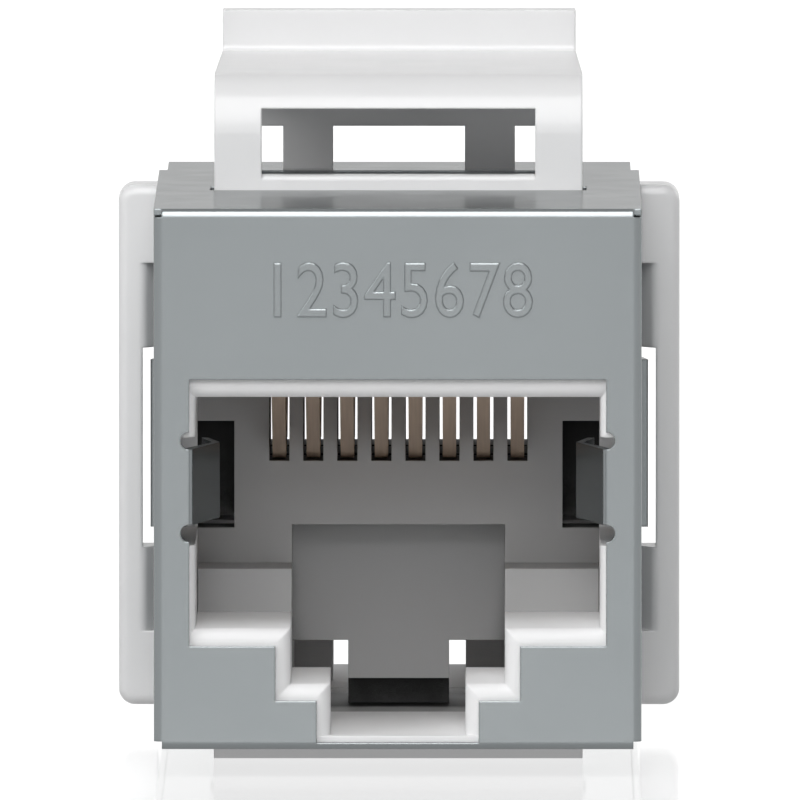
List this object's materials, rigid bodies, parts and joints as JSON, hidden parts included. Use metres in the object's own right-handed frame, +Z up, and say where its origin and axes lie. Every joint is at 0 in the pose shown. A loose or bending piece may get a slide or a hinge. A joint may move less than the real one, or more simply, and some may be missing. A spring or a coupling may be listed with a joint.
{
  "type": "keystone coupler",
  "caption": "In-line keystone coupler: folded metal shields with a stepped plug port at each end, white collar, lower panel hook and a sprung press latch on top.",
  "frame": {"origin": "middle of the object's outline at the level of the panel hook's underside", "axes": "+Y from the front port to the rear port, +X to the right seen from the front port, +Z up towards the latch"},
  "size_m": [0.017, 0.029, 0.0218],
  "materials": {
    "shield": "tinned sheet, satin",
    "white_moulding": "fine satin moulding",
    "grey_moulding": "satin moulding",
    "contact": "gold-plated spring wire",
    "board": "solder mask"
  },
  "bodies": {
    "housing": {"front_shield": "shield", "rear_shield": "shield", "front_insert": "white_moulding", "rear_insert": "white_moulding", "contact_base": "grey_moulding", "contact_comb": "grey_moulding", "circuit_board": "board", "keystone_collar": "white_moulding", "front_contact_1": "contact", "front_contact_2": "contact", "front_contact_3": "contact", "front_contact_4": "contact", "front_contact_5": "contact", "front_contact_6": "contact", "front_contact_7": "contact", "front_contact_8": "contact", "rear_contact_1": "contact", "rear_contact_2": "contact", "rear_contact_3": "contact", "rear_contact_4": "contact", "rear_contact_5": "contact", "rear_contact_6": "contact", "rear_contact_7": "contact", "rear_contact_8": "contact"},
    "latch_arm": {"latch": "white_moulding"}
  },
  "joints": [
    {"name": "latch_press", "type": "hinge", "parent": "housing", "child": "latch_arm", "pos_m": [0, -0.0042, 0.01605], "axis": [1, 0, 0], "range_deg": [-9, 0], "stiffness_Nm_per_rad": 0.1}
  ]
}
